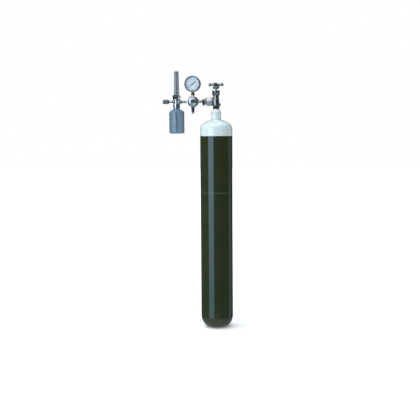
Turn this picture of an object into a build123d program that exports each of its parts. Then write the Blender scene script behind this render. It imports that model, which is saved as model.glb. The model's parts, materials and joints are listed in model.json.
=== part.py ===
from build123d import *
import math
import os

# Medical oxygen cylinder with its valve, pressure regulator, flowmeter and humidifier.
# Millimetres. Z is up and the cylinder's axis, the floor is z = 0, the regulator reaches out
# along -X and its gauge faces -Y.

# Cylinder
BODY_R = 70.0          # standard 140 mm seamless steel body
WALL = 4.2
FOOT_IN_R = 24.0       # flat ring that it stands on
FOOT_R = 30.0
PUNT = 14.0            # height of the hollow under the base
BASE_H = 52.0          # height of the rounded base
BASE_WALL = 8.0
SHOULDER_Z = 872.0     # where the straight wall ends
KNUCKLE_R = 26.0
CROWN_R = 90.0
KNUCKLE_DEG = 50.0
RING_SEAT_R = 24.0     # flat at the foot of the neck
NECK_R = 16.0
NECK_BORE_R = 12.5
NECK_TOP = 957.0

# Cylinder valve
OUTLET_Z = 990.0       # height of the valve's outlet and the regulator's axis
SEAT_Z = 978.0
VALVE_TOP = 1015.0
CHAMBER_R = 7.0
GLAND_BORE_Z = 1006.0
GLAND_TOP = 1036.5
STEM_R = 3.98
STEM_BORE_R = 4.03
BURST_Z = 975.0
OUTLET_LENGTH = 32.0   # from the valve's axis to the outlet's mouth
THREAD_R = 11.4
WHEEL_Z = 1061.0       # centre of the handwheel's arms
WHEEL_REACH = 34.0
HUB_TOP = WHEEL_Z + 4.5
SQUARE_Z = WHEEL_Z - 13.5    # where the stem's square starts
WHEEL_TURN = -12.5     # degrees, at rest

# Regulator, centred on DRUM_X
DRUM_X = -101.5
DRUM_R = 23.5
PORT_R = 5.45
PIPE_R = 5.4
ARM_END = 25.0         # from the drum's axis to the end of its inlet and outlet arms
ARM_OUT = -DRUM_X - ARM_END    # distance out from the cylinder's axis of the inlet arm's end
ARM_FAR = -DRUM_X + ARM_END    # and of the outlet arm's end
NIPPLE_R = 7.0
NUT_TURN = 5.0         # degrees that the tight union nut's front edge lies above level

# Gauge
GAUGE_Z = 1065.5
CASE_R = 33.5
PINION_TEETH = 12
SECTOR_TEETH = 84      # of a whole wheel
MODULE = 0.4
SECTOR_TRAVEL = 256.0 * PINION_TEETH / SECTOR_TEETH
SECTOR_BEARING_DEG = -60.0
ARBOR_R = 0.8
ARBOR_BORE_R = 0.84

# Flowmeter and humidifier, centred on FLOW_X
FLOW_X = -173.5
COLLAR_Z = 1000.0
TUBE_SEAT_Z = 1009.0
TUBE_TOP = 1123.0
LID_Z = 961.0
LID_TOP = 982.8
NECK_END_Z = 973.0
BOTTLE_R = 33.2
BOTTLE_Z = 852.0
SPIGOT_R = 8.0
BARB_Z = 978.4

X_OUT = (-1, 0, 0)     # direction in which the regulator reaches out
VALVE_OUTLET = (0, 0, OUTLET_Z)
DRUM = (DRUM_X, 0, OUTLET_Z)
GAUGE = (DRUM_X, 0, GAUGE_Z)


# ------------------------------------------------------------------ helpers

def corner(points, i):
    """Start, end and arc of corner i of an outline, filleted if it has a third value."""
    here = Vector(*points[i][:2])
    if len(points[i]) == 2:
        return here, here, None
    before = (Vector(*points[i - 1][:2]) - here).normalized()
    after = (Vector(*points[(i + 1) % len(points)][:2]) - here).normalized()
    radius = points[i][2]
    half = math.radians(before.get_angle(after)) / 2
    start = here + before * (radius / math.tan(half))
    end = here + after * (radius / math.tan(half))
    middle = here + (before + after).normalized() * (radius / math.sin(half) - radius)
    return start, end, ThreePointArc(start, middle, end)


def outline(points):
    """Edges of a closed shape from (x, y) or (x, y, fillet radius) corners."""
    corners = [corner(points, i) for i in range(len(points))]
    edges = [arc for _, _, arc in corners if arc]
    for i, (_, end, _) in enumerate(corners):
        start = corners[(i + 1) % len(corners)][0]
        if (start - end).length > 1e-6:
            edges.append(Line(end, start))
    return edges


def frame_at(at, along, across=None):
    return Plane(origin=at, x_dir=across, z_dir=along) if across else Plane(origin=at, z_dir=along)


def turned(points, at=(0, 0, 0), along=(0, 0, 1)):
    """Solid of revolution of (radius, height) corners, about the line through at."""
    face = make_face(outline(points))
    return frame_at(at, along) * revolve(Plane.XZ * face, Axis.Z)


def turned_edges(edges):
    return revolve(Plane.XZ * make_face(edges), Axis.Z)


def rod(radius, start, end):
    axis = Vector(*end) - Vector(*start)
    low = (Align.CENTER, Align.CENTER, Align.MIN)
    return Plane(origin=start, z_dir=axis) * Cylinder(radius, axis.length, align=low)


def tube(outer_r, inner_r, low, high, at=(0, 0, 0), along=(0, 0, 1)):
    return turned([(inner_r, low), (outer_r, low), (outer_r, high), (inner_r, high)], at, along)


def hex_bar(across_flats, low, high, at=(0, 0, 0), along=(0, 0, 1), turn=0.0, lead=0.9):
    """Hexagon bar whose corners are turned off at 30 degrees at both ends."""
    flat_r = across_flats / 2
    corner_r = flat_r / math.cos(math.pi / 6)
    drop = (corner_r - flat_r * lead) * math.tan(math.pi / 6)
    blank = Pos(0, 0, low) * extrude(
        RegularPolygon(flat_r, 6, major_radius=False, rotation=turn), high - low
    )
    keep = turned([
        (0, low), (flat_r * lead, low), (corner_r, low + drop),
        (corner_r, high - drop), (flat_r * lead, high), (0, high),
    ])
    return frame_at(at, along) * (blank & keep)


def square_bar(side, low, high, at=(0, 0, 0), along=(0, 0, 1)):
    low_align = (Align.CENTER, Align.CENTER, Align.MIN)
    return frame_at(at, along) * Pos(0, 0, low) * Box(side, side, high - low, align=low_align)


def coil(radius, wire_r, low, high, turns, at=(0, 0, 0), along=(0, 0, 1)):
    """Compression spring whose wire stays between low and high."""
    height = high - low - 2 * wire_r
    path = Helix(height / turns, height, radius)
    section = Plane(origin=path @ 0, z_dir=path % 0) * Circle(wire_r)
    spring = sweep(section, path=path, is_frenet=True)
    return frame_at(at, along) * Pos(0, 0, low + wire_r) * spring


def threaded(crest_r, root_r, low, high, pitch, inner_r=0.0):
    """Corners of a turned thread: rings of the thread's form, from low to high."""
    count = int((high - low) / pitch)
    points = [(inner_r, low), (root_r, low)]
    for i in range(count):
        start = low + i * pitch
        points += [
            (crest_r, start + pitch * 0.3), (crest_r, start + pitch * 0.6),
            (root_r, start + pitch * 0.9), (root_r, start + pitch),
        ]
    return points + [(root_r, high), (inner_r, high)] if low + count * pitch < high - 1e-6 \
        else points + [(inner_r, high)]


def bowl_z(radius, rim_r, rise):
    """Height at a radius of a spherical bowl that rises by rise inside its rim."""
    sphere = (rim_r**2 + rise**2) / (2 * rise)
    return rise - sphere + math.sqrt(sphere**2 - radius**2)


# ------------------------------------------------------------------ cylinder

def crown_point(offset, radius):
    """Angle and height at a radius on the shoulder's crown, offset inwards."""
    centre_r = BODY_R - KNUCKLE_R + (KNUCKLE_R - CROWN_R) * math.cos(math.radians(KNUCKLE_DEG))
    centre_z = SHOULDER_Z + (KNUCKLE_R - CROWN_R) * math.sin(math.radians(KNUCKLE_DEG))
    reach = CROWN_R - offset
    angle = math.degrees(math.acos((radius - centre_r) / reach))
    return (centre_r, centre_z), reach, angle, centre_z + reach * math.sin(math.radians(angle))


def cylinder_shell():
    centre, reach, seat_deg, seat_z = crown_point(0, RING_SEAT_R)
    inner_centre, inner_reach, bore_deg, bore_z = crown_point(WALL, NECK_BORE_R)
    knuckle = (BODY_R - KNUCKLE_R, SHOULDER_Z)
    base = (FOOT_R, BASE_H)
    half_foot, half_floor = FOOT_IN_R / 2, FOOT_R / 2
    floor_rise = PUNT
    edges = [
        ThreePointArc((0, PUNT), (half_foot, bowl_z(half_foot, FOOT_IN_R, PUNT)), (FOOT_IN_R, 0)),
        Line((FOOT_IN_R, 0), (FOOT_R, 0)),
        EllipticalCenterArc(base, BODY_R - FOOT_R, BASE_H, 270, arc_size=90),
        Line((BODY_R, BASE_H), (BODY_R, SHOULDER_Z)),
        CenterArc(knuckle, KNUCKLE_R, 0, KNUCKLE_DEG),
        CenterArc(centre, reach, KNUCKLE_DEG, seat_deg - KNUCKLE_DEG),
        Line((RING_SEAT_R, seat_z), (NECK_R, seat_z)),
        Line((NECK_R, seat_z), (NECK_R, NECK_TOP - 2.5)),
        Line((NECK_R, NECK_TOP - 2.5), (NECK_R - 2.5, NECK_TOP)),
        Line((NECK_R - 2.5, NECK_TOP), (NECK_BORE_R, NECK_TOP)),
        Line((NECK_BORE_R, NECK_TOP), (NECK_BORE_R, bore_z)),
        CenterArc(inner_centre, inner_reach, KNUCKLE_DEG, bore_deg - KNUCKLE_DEG),
        CenterArc(knuckle, KNUCKLE_R - WALL, 0, KNUCKLE_DEG),
        Line((BODY_R - WALL, SHOULDER_Z), (BODY_R - WALL, BASE_H)),
        EllipticalCenterArc(base, BODY_R - WALL - FOOT_R, BASE_H - BASE_WALL, 270, arc_size=90),
        ThreePointArc(
            (FOOT_R, BASE_WALL),
            (half_floor, BASE_WALL + bowl_z(half_floor, FOOT_R, floor_rise)),
            (0, BASE_WALL + floor_rise),
        ),
        Line((0, BASE_WALL + floor_rise), (0, PUNT)),
    ]
    return turned_edges(edges)


def neck_ring():
    """Collar swaged on the neck, with the thread for a transport cap."""
    low = crown_point(0, RING_SEAT_R)[3]
    thread = threaded(22.4, 21.4, 933.0, 945.0, 3.0)[1:-1]
    bore = NECK_R + 0.05
    return turned(
        [(bore, low), (21.4, low, 0.8), *thread, (20.6, 946.2, 0.5), (bore + 0.8, 953.6), (bore, 953.6)]
    )


# ------------------------------------------------------------------ cylinder valve

def valve_body():
    stub = turned([(0, 922), (11.2, 922, 1.0), (12.3, NECK_TOP), (0, NECK_TOP)])
    wrench = hex_bar(26.0, NECK_TOP, 971.0, turn=30)
    barrel = turned([
        (0, 970), (12.8, 970), (13.9, 973, 1.0), (13.9, 997, 4.0),
        (12.6, 1003, 3.0), (12.6, VALVE_TOP, 0.8), (0, VALVE_TOP),
    ])
    outlet_boss = turned([(0, 0), (12.4, 0), (12.4, 14.5, 1.0), (0, 14.5)], VALVE_OUTLET, X_OUT)
    thread = turned(
        threaded(THREAD_R, THREAD_R - 0.9, 14.0, OUTLET_LENGTH, 1.8), VALVE_OUTLET, X_OUT
    )
    burst_boss = turned(
        [(0, 0), (7.8, 0), (7.8, 14.2, 1.0), (0, 14.2)], (0, 0, BURST_Z), (1, 0, 0)
    )
    body = stub + wrench + barrel + outlet_boss + thread + burst_boss
    inlet = rod(3.0, (0, 0, 921), (0, 0, SEAT_Z + 1))
    chamber = rod(CHAMBER_R, (0, 0, SEAT_Z), (0, 0, VALVE_TOP))
    gland_seat = rod(9.6, (0, 0, GLAND_BORE_Z), (0, 0, VALVE_TOP + 1))
    outlet = rod(3.5, VALVE_OUTLET, (-OUTLET_LENGTH - 1, 0, OUTLET_Z))
    burst_way = rod(1.5, (0, 0, BURST_Z), (9, 0, BURST_Z))
    burst_seat = rod(5.05, (8, 0, BURST_Z), (15, 0, BURST_Z))
    return body - inlet - chamber - gland_seat - outlet - burst_way - burst_seat


def gland_nut():
    stub = rod(9.5, (0, 0, GLAND_BORE_Z + 0.3), (0, 0, VALVE_TOP + 1))
    nut = hex_bar(29.0, VALVE_TOP, 1029.0)
    flange = turned([
        (0, 1028), (14.2, 1028), (16.5, 1029.5, 0.6), (16.5, 1032.2, 0.5), (15.6, 1032.8),
        (16.5, 1033.4, 0.5), (16.5, GLAND_TOP, 1.2), (0, GLAND_TOP),
    ])
    bore = rod(STEM_BORE_R, (0, 0, 1000), (0, 0, 1040))
    return stub + nut + flange - bore - rod(6.6, (0, 0, 1000), (0, 0, 1012.5))


def stem_packing():
    return tube(6.55, STEM_BORE_R + 0.02, 1009.65, 1012.45)


def burst_plug():
    head = hex_bar(13.0, 14.2, 19.0, (0, 0, BURST_Z), (1, 0, 0))
    stub = rod(4.95, (8.5, 0, BURST_Z), (15, 0, BURST_Z))
    vent = rod(1.6, (8, 0, BURST_Z), (17.2, 0, BURST_Z))
    side_vent = rod(0.9, (16.6, 0, BURST_Z - 10), (16.6, 0, BURST_Z + 10))
    return head + stub - vent - side_vent


def burst_disc():
    return rod(4.9, (8.05, 0, BURST_Z), (8.45, 0, BURST_Z))


def valve_stem():
    shaft = turned([
        (0, 1006.6), (6.4, 1006.6, 0.4), (6.4, 1009.6, 0.4), (STEM_R, 1009.6),
        (STEM_R, SQUARE_Z + 0.2), (0, SQUARE_Z + 0.2),
    ])
    tongue = Pos(0, 0, 1003.2) * Box(10.0, 3.0, 7.2)
    square = square_bar(6.0, SQUARE_Z, HUB_TOP)
    tip = turned(threaded(2.4, 2.0, HUB_TOP, HUB_TOP + 3.6, 0.8))
    return Rot(0, 0, WHEEL_TURN) * (shaft + tongue + square + tip)


def handwheel():
    hub = turned([
        (0, WHEEL_Z - 18), (11.8, WHEEL_Z - 18, 1.0), (15.0, WHEEL_Z - 12.5, 2.5), (10.6, WHEEL_Z - 5, 3.0),
        (10.6, HUB_TOP, 2.4), (0, HUB_TOP),
    ])
    arm = turned([
        (0, 0), (4.45, 0), (4.45, 21.4, 2.0), (6.8, 23.6, 2.2),
        (6.8, WHEEL_REACH, 5.4), (0, WHEEL_REACH),
    ], (0, 0, WHEEL_Z), (1, 0, 0))
    for k in range(4):
        hub += Rot(0, 0, 90 * k) * arm
    hub -= square_bar(6.12, SQUARE_Z - 0.1, HUB_TOP + 1)
    hub -= rod(STEM_R + 0.1, (0, 0, WHEEL_Z - 19), (0, 0, SQUARE_Z + 0.3))
    return Rot(0, 0, WHEEL_TURN) * hub


def handwheel_nut():
    nut = hex_bar(10.0, HUB_TOP + 0.05, HUB_TOP + 3.0)
    dome = turned([(0, HUB_TOP + 2.5), (4.3, HUB_TOP + 2.5), (4.3, HUB_TOP + 5.2, 2.6), (0, HUB_TOP + 5.2)])
    return nut + dome - rod(2.45, (0, 0, HUB_TOP), (0, 0, HUB_TOP + 3.8))


def seat_plug():
    plug = turned([
        (0, 980.0), (4.8, 980.0, 0.4), (4.8, 994.0), (6.9, 994.0, 0.5), (6.9, 1002.0, 0.5), (0, 1002.0),
    ])
    plug -= rod(4.1, (0, 0, 979), (0, 0, 983.0))
    return Rot(0, 0, WHEEL_TURN) * (plug - Pos(0, 0, 999.0) * Box(15.0, 3.3, 8.0))


def seat_disc():
    return rod(4.05, (0, 0, SEAT_Z + 0.05), (0, 0, 982.95))


# ------------------------------------------------------------------ inlet connection

def nipple_seal():
    return tube(6.6, 4.4, OUTLET_LENGTH + 0.05, 33.5, VALVE_OUTLET, X_OUT)


def inlet_nipple():
    return turned([
        (4.2, 33.5), (10.0, 33.5, 0.5), (10.0, 37.5, 0.3), (NIPPLE_R, 37.5), (NIPPLE_R, ARM_OUT),
        (PIPE_R, ARM_OUT), (PIPE_R, ARM_OUT + 13), (2.5, ARM_OUT + 13), (2.5, 44.0), (4.2, 44.0),
    ], VALVE_OUTLET, X_OUT)


def inlet_filter():
    return rod(4.15, (-34.0, 0, OUTLET_Z), (-43.5, 0, OUTLET_Z))


def union_nut():
    flat_r = 18.0
    corner_r = flat_r / math.cos(math.pi / 6)
    blank = extrude(RegularPolygon(flat_r, 6, major_radius=False, rotation=30 + NUT_TURN), 33.0)
    keep = turned([
        (0, 0), (flat_r * 0.93, 0), (corner_r, 2.4), (corner_r, 22.5), (flat_r * 0.97, 25.0),
        (12.4, 31.8, 1.0), (12.4, 33.0), (0, 33.0),
    ])
    grooves = turned([(flat_r * 0.9, 4.6), (corner_r + 1, 4.6), (corner_r + 1, 5.6), (flat_r * 0.985, 5.6)])
    nut = Plane(origin=(-15.0, 0, OUTLET_Z), z_dir=X_OUT) * ((blank & keep) - grooves)
    bore = turned([
        (0, 14.0), (12.1, 14.0), (12.1, 20.0), (THREAD_R + 0.1, 20.6), (THREAD_R + 0.1, 37.6),
        (NIPPLE_R + 0.06, 37.6), (NIPPLE_R + 0.06, 49.0), (0, 49.0),
    ], VALVE_OUTLET, X_OUT)
    return nut - bore


def filter_collar():
    collar = turned([
        (0, 48.7), (8.6, 48.7), (9.4, 49.5), (9.4, 58.6), (8.6, 59.4), (0, 59.4),
    ], VALVE_OUTLET, X_OUT)
    boss = turned([(0, 0), (5.0, 0), (5.0, 12.6, 0.6), (0, 12.6)], (-54.0, 0, OUTLET_Z), (0, 0, -1))
    bore = rod(NIPPLE_R + 0.04, (-48.0, 0, OUTLET_Z), (-60.0, 0, OUTLET_Z))
    socket = rod(3.05, (-54.0, 0, OUTLET_Z), (-54.0, 0, OUTLET_Z - 13))
    return collar + boss - bore - socket


def filter_plug():
    at = (-54.0, 0, OUTLET_Z)
    head = hex_bar(8.0, 12.65, 16.4, at, (0, 0, -1))
    tip = turned([(0, 16.0), (2.9, 16.0), (2.9, 19.0, 1.6), (0, 19.0)], at, (0, 0, -1))
    return head + tip + rod(3.0, (-54.0, 0, OUTLET_Z - 7.6), (-54.0, 0, OUTLET_Z - 13))


# ------------------------------------------------------------------ regulator

def regulator_body():
    drum = turned([
        (0, -15.5), (21.0, -15.5, 0.4), (21.0, -10.5), (DRUM_R, -10.5, 0.8), (DRUM_R, 12.0, 2.2),
        (19.0, 16.0, 1.0), (0, 16.0),
    ], DRUM, (0, 1, 0))
    arm = [(0, 0), (9.6, 0), (9.6, ARM_END, 0.8), (0, ARM_END)]
    drum += turned(arm, DRUM, (1, 0, 0))
    drum += turned(arm, DRUM, X_OUT)
    drum += turned([(0, 0), (8.4, 0), (8.4, 24.0, 0.8), (0, 24.0)], DRUM, (0, 0, 1))
    drum += turned([(0, 0), (8.0, 0), (8.0, 24.5, 0.8), (0, 24.5)], DRUM, (0, 0, -1))
    low_side = rod(17.0, (DRUM_X, -16, OUTLET_Z), (DRUM_X, -11.5, OUTLET_Z))
    nozzle_seat = rod(6.05, (DRUM_X, -12, OUTLET_Z), (DRUM_X, -7, OUTLET_Z))
    high_side = rod(8.0, (DRUM_X, -7.5, OUTLET_Z), (DRUM_X, 17, OUTLET_Z))
    inlet = rod(PORT_R, (DRUM_X + 26, 0, OUTLET_Z), (DRUM_X + 11.6, 0, OUTLET_Z))
    inlet_way = rod(2.5, (DRUM_X + 12, 0, OUTLET_Z), (DRUM_X + 6, 0, OUTLET_Z))
    outlet = rod(PORT_R, (DRUM_X - 26, 0, OUTLET_Z), (DRUM_X - 12.6, 0, OUTLET_Z))
    outlet_way = rod(1.5, (DRUM_X - 14, 0, OUTLET_Z), (DRUM_X - 14, -12, OUTLET_Z))
    gauge_port = rod(5.0, (DRUM_X, 0, OUTLET_Z + 13), (DRUM_X, 0, OUTLET_Z + 25))
    gauge_way = rod(1.5, (DRUM_X, 0.6, OUTLET_Z + 5), (DRUM_X, 0.6, OUTLET_Z + 14))
    relief_port = rod(5.0, (DRUM_X, 0, OUTLET_Z - 15), (DRUM_X, 0, OUTLET_Z - 26))
    relief_way = rod(1.5, (DRUM_X, 0, OUTLET_Z - 16), (DRUM_X, -13, OUTLET_Z - 12.5))
    for hollow in (low_side, nozzle_seat, high_side, inlet, inlet_way, outlet, outlet_way,
                   gauge_port, gauge_way, relief_port, relief_way):
        drum -= hollow
    return drum


def regulator_bonnet():
    """Domed front cover that clamps the diaphragm and holds the main spring."""
    return turned([
        (21.06, -10.8), (24.4, -10.8, 0.6), (24.4, -15.5, 0.5), (23.8, -16.0), (24.4, -16.5, 0.5),
        (24.4, -21.1, 1.2), (20.6, -21.9, 0.6), (20.2, -38.0, 15.0), (4.06, -38.0), (4.06, -33.5),
        (11.0, -33.5), (11.0, -18.5), (17.5, -18.5), (17.5, -16.5), (21.06, -16.5),
    ], DRUM, (0, 1, 0))


def diaphragm():
    return turned([
        (2.05, -16.5), (20.9, -16.5), (20.9, -15.5), (2.05, -15.5),
    ], DRUM, (0, 1, 0))


def diaphragm_plate():
    return turned([
        (0, -14.7), (6.0, -14.7, 0.2), (6.0, -15.48), (2.0, -15.48), (2.0, -16.52), (9.5, -16.52),
        (9.5, -18.1, 0.4), (0, -18.1),
    ], DRUM, (0, 1, 0))


def main_spring():
    return coil(7.5, 1.0, -31.2, -18.2, 3.5, DRUM, (0, 1, 0))


def adjusting_screw():
    screw = turned([
        (0, -38.7), (3.2, -38.7), (4.0, -37.9), (4.0, -33.4), (9.6, -33.4, 0.5), (9.6, -31.3),
        (5.6, -31.3), (5.6, -29.1, 0.6), (0, -29.1),
    ], DRUM, (0, 1, 0))
    slot = Pos(DRUM_X, -38.7, OUTLET_Z) * Rot(0, 35, 0) * Box(9.0, 2.4, 1.1)
    return screw - slot


def seat_nozzle():
    return turned([
        (1.6, -11.5), (6.0, -11.5), (6.0, -7.5), (2.6, -7.5), (2.6, -6.9), (1.6, -6.9),
    ], DRUM, (0, 1, 0))


def poppet():
    return turned([
        (0, -14.65), (1.0, -14.65, 0.3), (1.0, -6.85), (3.6, -6.85, 0.3), (3.6, -3.0), (5.0, -3.0),
        (5.0, -2.0), (2.5, -2.0), (2.5, 13.0, 0.5), (0, 13.0),
    ], DRUM, (0, 1, 0))


def poppet_spring():
    return coil(3.9, 0.4, -1.9, 9.9, 5.0, DRUM, (0, 1, 0))


def back_cap():
    plug = rod(7.95, (DRUM_X, 10.0, OUTLET_Z), (DRUM_X, 16.5, OUTLET_Z))
    head = hex_bar(20.0, 16.05, 21.0, DRUM, (0, 1, 0))
    return plug + head - rod(2.56, (DRUM_X, 9.0, OUTLET_Z), (DRUM_X, 14.5, OUTLET_Z))


def relief_body():
    at, down = DRUM, (0, 0, -1)
    body = turned([
        (0, 15.5), (4.95, 15.5, 0.5), (4.95, 25.0), (6.4, 25.0), (6.4, 33.0, 0.5), (5.6, 34.0),
        (6.4, 35.0, 0.5), (6.4, 44.5, 0.8), (0, 44.5),
    ], at, down)
    body += hex_bar(14.0, 24.55, 31.5, at, down)
    body -= rod(2.0, (DRUM_X, 0, OUTLET_Z - 15), (DRUM_X, 0, OUTLET_Z - 28))
    body -= rod(4.2, (DRUM_X, 0, OUTLET_Z - 27), (DRUM_X, 0, OUTLET_Z - 46))
    body -= rod(1.0, (DRUM_X - 8, 0, OUTLET_Z - 38), (DRUM_X + 8, 0, OUTLET_Z - 38))
    body -= rod(1.0, (DRUM_X, -8, OUTLET_Z - 38), (DRUM_X, 8, OUTLET_Z - 38))
    return body


def relief_poppet():
    return turned([
        (0, 27.1), (4.14, 27.1, 0.3), (4.14, 31.0, 0.3), (1.2, 31.0), (1.2, 40.0), (0, 40.0),
    ], DRUM, (0, 0, -1))


def relief_spring():
    return coil(2.9, 0.4, 31.1, 41.9, 5.0, DRUM, (0, 0, -1))


def relief_cap():
    return turned([
        (0, 42.0), (4.15, 42.0), (4.15, 44.55), (6.0, 44.55, 0.5), (6.0, 46.8, 0.8), (4.9, 47.6),
        (5.4, 48.6), (5.4, 53.0, 4.4), (0, 53.0),
    ], DRUM, (0, 0, -1))


# ------------------------------------------------------------------ gauge

def gauge_socket():
    at = (DRUM_X, 0, 0)
    socket = turned([
        (0, 1003.2), (4.95, 1003.2, 0.4), (4.95, 1014.05), (6.6, 1014.05, 0.4), (6.6, 1018.5), (0, 1018.5),
    ], at)
    socket += hex_bar(14.0, 1018.0, 1029.0, at, turn=30)
    socket += turned([
        (0, 1028.0), (5.6, 1028.0), (5.6, GAUGE_Z - 34), (4.9, GAUGE_Z - 34), (4.9, GAUGE_Z - 27.02),
        (0, GAUGE_Z - 27.02),
    ], at)
    holder = Pos(DRUM_X + 1.5, 4.0, GAUGE_Z - 25.8) * Box(6.2, 7.4, 5.0)
    bore = rod(1.5, (DRUM_X, 0, 1002), (DRUM_X, 0, GAUGE_Z - 31))
    return socket + holder - bore


def gauge_case():
    cup = turned([
        (0, 14.0), (30.0, 14.0, 1.5), (31.4, 12.4), (CASE_R, 12.4, 1.2), (CASE_R, -12.5),
        (CASE_R - 1.5, -12.5), (CASE_R - 1.5, 10.9), (30.0, 10.9), (29.2, 12.4), (0, 12.4),
    ], GAUGE, (0, 1, 0))
    return cup - rod(5.7, (DRUM_X, 0, GAUGE_Z - 40), (DRUM_X, 0, GAUGE_Z - 25))


def gauge_bezel():
    return turned([
        (30.6, -17.4, 0.4), (34.2, -17.4, 1.6), (35.2, -14.0, 1.0), (35.2, -7.0, 0.8),
        (CASE_R + 0.06, -7.0), (CASE_R + 0.06, -14.7), (31.0, -14.7),
    ], GAUGE, (0, 1, 0))


def gauge_lens():
    return rod(CASE_R - 0.3, (DRUM_X, -14.65, GAUGE_Z), (DRUM_X, -12.55, GAUGE_Z))


def gauge_dial():
    disc = rod(CASE_R - 1.7, (DRUM_X, -10.0, GAUGE_Z), (DRUM_X, -9.4, GAUGE_Z))
    return disc - rod(1.8, (DRUM_X, -11, GAUGE_Z), (DRUM_X, -8, GAUGE_Z))


def dial_plate(edges, front, back):
    """Flat piece of the gauge between two depths, from edges in the dial's plane."""
    plane = Plane(origin=(DRUM_X, front, GAUGE_Z), x_dir=(1, 0, 0), z_dir=(0, -1, 0))
    return extrude(plane * make_face(edges), front - back)


def polar(radius, degrees, centre=(0, 0)):
    turn = math.radians(degrees)
    return centre[0] + radius * math.cos(turn), centre[1] + radius * math.sin(turn)


def dial_point(point, depth):
    return DRUM_X + point[0], depth, GAUGE_Z + point[1]


PITCH_R = MODULE * PINION_TEETH / 2
SECTOR_R = MODULE * SECTOR_TEETH / 2
SECTOR_AT = polar(PITCH_R + SECTOR_R, SECTOR_BEARING_DEG)
MESH_DEG = SECTOR_BEARING_DEG + 180
TAIL_REACH = 5.5
TAIL_DEG = -20.0
POINTER_REST_DEG = 218.0
TIP_PIN = (25.5, 0.4)
EYE_TRAVEL = 3.7


def tooth(teeth, centre, degrees):
    """Corners of one involute tooth, from its left root to its right root."""
    pressure = math.radians(20)
    backlash = 0.05
    pitch_r = MODULE * teeth / 2
    base_r = pitch_r * math.cos(pressure)
    root_r, tip_r = pitch_r - 1.15 * MODULE, pitch_r + 0.7 * MODULE
    half_pitch = math.pi / (2 * teeth) - backlash / pitch_r

    def half_width(radius):
        if radius <= base_r:
            return half_pitch + math.tan(pressure) - pressure
        turn = math.acos(base_r / radius)
        return half_pitch + math.tan(pressure) - pressure - math.tan(turn) + turn

    radii = [root_r] + [max(base_r, root_r) + (tip_r - max(base_r, root_r)) * k / 3 for k in range(4)]
    left = [polar(r, degrees + math.degrees(half_width(r)), centre) for r in radii]
    right = [polar(r, degrees - math.degrees(half_width(r)), centre) for r in reversed(radii)]
    return left + right


def closed(points):
    unique = [p for i, p in enumerate(points) if math.dist(p, points[i - 1]) > 1e-6]
    return outline(unique)


def pointer_pinion():
    step = 360 / PINION_TEETH
    gap_at_mesh = SECTOR_BEARING_DEG + step / 2
    teeth = []
    for k in range(PINION_TEETH):
        teeth += tooth(PINION_TEETH, (0, 0), gap_at_mesh - k * step)
    pinion = dial_plate(closed(teeth), -3.2, -6.2)
    arbor = rod(ARBOR_R, dial_point((0, 0), -12.0), dial_point((0, 0), -0.2))
    return pinion + arbor


def gauge_pointer():
    upper = [(27.0, 0.2), (11.0, 0.9), (0.0, 1.3), (-6.0, 1.1), (-15.5, 1.8)]
    blade = upper + [(x, -y) for x, y in reversed(upper)]
    turn = math.radians(POINTER_REST_DEG)
    cosine, sine = math.cos(turn), math.sin(turn)
    placed = [(x * cosine - y * sine, x * sine + y * cosine) for x, y in blade]
    pointer = dial_plate(closed(placed), -10.7, -11.2)
    hub = rod(2.7, dial_point((0, 0), -10.6), dial_point((0, 0), -11.7))
    return pointer + hub - rod(ARBOR_R + 0.02, dial_point((0, 0), -9), dial_point((0, 0), -13))


def sector_gear():
    step = 360 / SECTOR_TEETH
    last = math.ceil((SECTOR_TRAVEL + 6) / step)
    points = []
    for k in range(1, -last - 1, -1):
        points += tooth(SECTOR_TEETH, SECTOR_AT, MESH_DEG + k * step)
    high_edge, low_edge = MESH_DEG + 1.6 * step, MESH_DEG - (last + 0.6) * step
    points += [polar(SECTOR_R - 1.6, low_edge, SECTOR_AT), polar(1.6, low_edge - 30, SECTOR_AT)]
    points += [polar(1.6, high_edge + 60, SECTOR_AT), polar(SECTOR_R - 1.6, high_edge, SECTOR_AT)]
    web = dial_plate(closed(points), -3.7, -5.3)
    hub = rod(2.2, dial_point(SECTOR_AT, -3.6), dial_point(SECTOR_AT, -6.2))
    arbor = rod(ARBOR_R, dial_point(SECTOR_AT, -8.9), dial_point(SECTOR_AT, -0.2))
    tail_at = polar(TAIL_REACH, TAIL_DEG, SECTOR_AT)
    sides = [polar(1.2, TAIL_DEG + 90, SECTOR_AT), polar(1.2, TAIL_DEG - 90, SECTOR_AT),
             polar(1.2, TAIL_DEG - 90, tail_at), polar(1.2, TAIL_DEG, tail_at),
             polar(1.2, TAIL_DEG + 90, tail_at)]
    tail = dial_plate(closed(sides), -3.7, -5.3)
    pin = rod(0.6, dial_point(tail_at, -4.0), dial_point(tail_at, -2.3))
    return web + hub + arbor + tail + pin


def gauge_link():
    """Thin link from the sector's tail, with a long upright eye round the tube's pin."""
    foot = polar(TAIL_REACH, TAIL_DEG, SECTOR_AT)
    x, top = TIP_PIN
    low = top - EYE_TRAVEL
    arm = [polar(1.3, 150, foot), polar(1.3, 240, foot), polar(1.3, -30, foot), (x + 1.2, low - 2.6),
           (x + 1.2, low - 0.5), (x - 1.2, low - 0.5)]
    eye = [(x - 1.6, low - 1.6, 1.5), (x + 1.6, low - 1.6, 1.5), (x + 1.6, top + 1.6, 1.5),
           (x - 1.6, top + 1.6, 1.5)]
    slot = [(x - 0.95, low - 0.95, 0.9), (x + 0.95, low - 0.95, 0.9), (x + 0.95, top + 0.95, 0.9),
            (x - 0.95, top + 0.95, 0.9)]
    link = dial_plate(closed(arm), -2.8, -3.4) + dial_plate(outline(eye), -2.8, -3.4)
    return link - dial_plate(outline(slot), -2, -4) - rod(0.64, dial_point(foot, -5), dial_point(foot, -1))


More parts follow.
